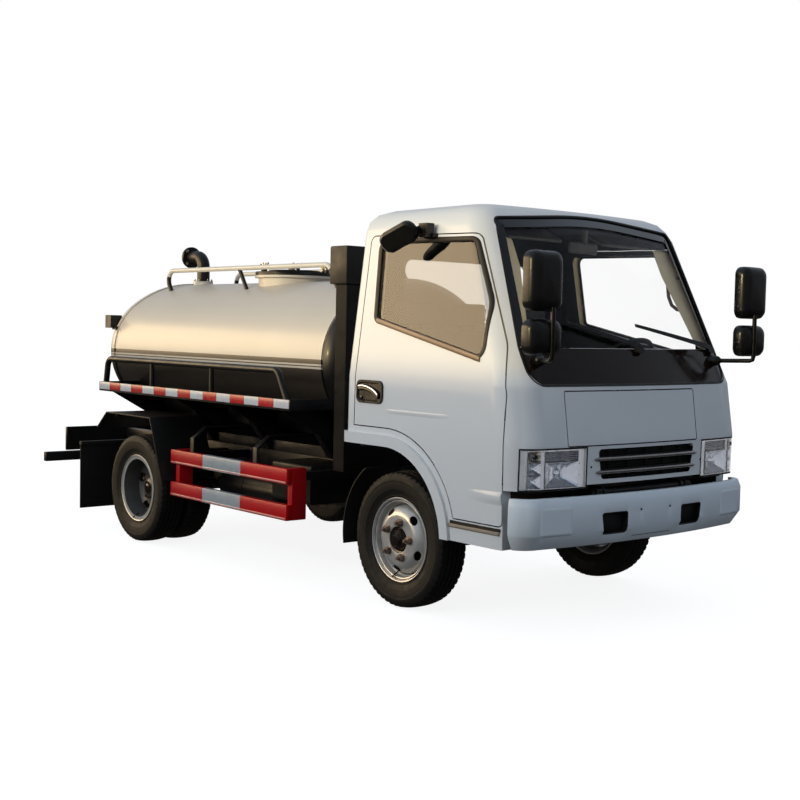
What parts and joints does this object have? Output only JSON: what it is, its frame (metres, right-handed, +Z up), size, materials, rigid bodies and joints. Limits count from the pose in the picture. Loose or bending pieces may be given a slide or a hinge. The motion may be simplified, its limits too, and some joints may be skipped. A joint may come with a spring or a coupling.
{
  "type": "small cab-over suction tanker truck",
  "caption": "Small cab-over tanker truck with an oval suction tank, tilting cab, opening doors, steered front wheels, twin rear wheels and a hinged manhole lid.",
  "frame": {"origin": "centre of the footprint, on the ground", "axes": "+X forward, +Y to the truck's left, +Z up"},
  "size_m": [5.185, 2.016, 2.162],
  "materials": {
    "cab_white": "gloss",
    "chassis_black": "semi-gloss",
    "tank_cream": "gloss",
    "rail_cream": "gloss",
    "guard_red": "gloss",
    "bumper_white": "gloss",
    "wheel_silver": "semi-gloss",
    "tyre_rubber": "matte",
    "cast_metal": "rough",
    "spring_steel": "matte",
    "black_plastic": "matte",
    "gloss_black": "gloss",
    "clear_glass": "clear",
    "lamp_clear": "clear",
    "lamp_red": "gloss",
    "flap_rubber": "matte",
    "seat_cloth": "woven",
    "dash_grey": "matte"
  },
  "bodies": {
    "chassis": {"frame_rails": "chassis_black", "crossmembers": "chassis_black", "cab_mounts": "chassis_black", "leaf_springs": "spring_steel", "front_axle_beam": "cast_metal", "rear_axle": "cast_metal", "engine": "cast_metal", "driveshaft": "spring_steel", "silencer": "cast_metal", "fuel_tank": "chassis_black", "battery_box": "black_plastic", "air_intake": "black_plastic", "front_bumper": "bumper_white", "tank_shell": "tank_cream", "tank_bearers": "chassis_black", "manhole_neck": "chassis_black", "tank_fittings": "chassis_black", "hose_trays": "chassis_black", "tray_rails": "chassis_black", "top_rails": "rail_cream", "guard_rails": "guard_red", "guard_posts": "guard_red", "rear_fenders": "black_plastic", "mud_flaps": "flap_rubber", "rear_bars": "chassis_black", "tail_lamps": "lamp_red"},
    "cab": {"cab_shell": "cab_white", "cab_floor": "chassis_black", "cowl_panel": "gloss_black", "front_panel": "cab_white", "grille": "black_plastic", "headlamps": "lamp_clear", "cab_glass": "clear_glass", "wheel_flares": "cab_white", "dashboard": "dash_grey", "seats": "seat_cloth", "steering_wheel": "black_plastic", "mirrors": "black_plastic", "wipers": "black_plastic"},
    "front_lid": {"front_lid": "cab_white"},
    "door_right": {"door_right": "cab_white", "door_glass_right": "clear_glass", "door_handle_right": "black_plastic", "kerb_mirror": "black_plastic"},
    "door_left": {"door_left": "cab_white", "door_glass_left": "clear_glass", "door_handle_left": "black_plastic"},
    "knuckle_right": {"knuckle_right": "cast_metal"},
    "knuckle_left": {"knuckle_left": "cast_metal"},
    "tie_rod": {"tie_rod": "cast_metal"},
    "wheel_front_right": {"wheel_front_right": "wheel_silver", "tyre_front_right": "tyre_rubber"},
    "wheel_front_left": {"wheel_front_left": "wheel_silver", "tyre_front_left": "tyre_rubber"},
    "wheels_rear_right": {"wheels_rear_right": "wheel_silver", "tyres_rear_right": "tyre_rubber"},
    "wheels_rear_left": {"wheels_rear_left": "wheel_silver", "tyres_rear_left": "tyre_rubber"},
    "manhole_lid": {"manhole_lid": "chassis_black"}
  },
  "joints": [
    {"name": "steer_right", "type": "hinge", "parent": "chassis", "child": "knuckle_right", "pos_m": [1.545, -0.61, 0.365], "axis": [0, 0, 1], "range_deg": [-35, 35]},
    {"name": "steer_left", "type": "hinge", "parent": "chassis", "child": "knuckle_left", "pos_m": [1.545, 0.61, 0.365], "axis": [0, 0, 1], "range_deg": [-35, 35]},
    {"name": "tie_rod_pivot", "type": "hinge", "parent": "knuckle_right", "child": "tie_rod", "pos_m": [1.395, -0.61, 0.2705], "axis": [0, 0, 1], "range_deg": [-35, 35]},
    {"name": "wheel_front_right_spin", "type": "hinge", "parent": "knuckle_right", "child": "wheel_front_right", "pos_m": [1.545, -0.756, 0.365], "axis": [0, 1, 0], "continuous": true},
    {"name": "wheel_front_left_spin", "type": "hinge", "parent": "knuckle_left", "child": "wheel_front_left", "pos_m": [1.545, 0.756, 0.365], "axis": [0, 1, 0], "continuous": true},
    {"name": "wheels_rear_right_spin", "type": "hinge", "parent": "chassis", "child": "wheels_rear_right", "pos_m": [-1.055, -0.797, 0.365], "axis": [0, 1, 0], "continuous": true},
    {"name": "wheels_rear_left_spin", "type": "hinge", "parent": "chassis", "child": "wheels_rear_left", "pos_m": [-1.055, 0.797, 0.365], "axis": [0, 1, 0], "continuous": true},
    {"name": "cab_tilt", "type": "hinge", "parent": "chassis", "child": "cab", "pos_m": [2.49, 0, 0.69], "axis": [0, 1, 0], "range_deg": [0, 40]},
    {"name": "front_lid_hinge", "type": "hinge", "parent": "cab", "child": "front_lid", "pos_m": [2.488, 0, 1.156], "axis": [0, 1, 0], "range_deg": [-60, 0]},
    {"name": "door_right_hinge", "type": "hinge", "parent": "cab", "child": "door_right", "pos_m": [2.319, -0.871, 0.925], "axis": [0, 0, -1], "range_deg": [-65, 0]},
    {"name": "door_left_hinge", "type": "hinge", "parent": "cab", "child": "door_left", "pos_m": [2.319, 0.871, 0.925], "axis": [0, 0, 1], "range_deg": [-65, 0]},
    {"name": "manhole_lid_hinge", "type": "hinge", "parent": "chassis", "child": "manhole_lid", "pos_m": [-0.945, 0, 1.846], "axis": [0, -1, 0], "range_deg": [0, 100]}
  ],
  "couplings": [
    {"joint": "steer_left", "follows": "steer_right", "ratio": 1},
    {"joint": "tie_rod_pivot", "follows": "steer_right", "ratio": -1}
  ]
}
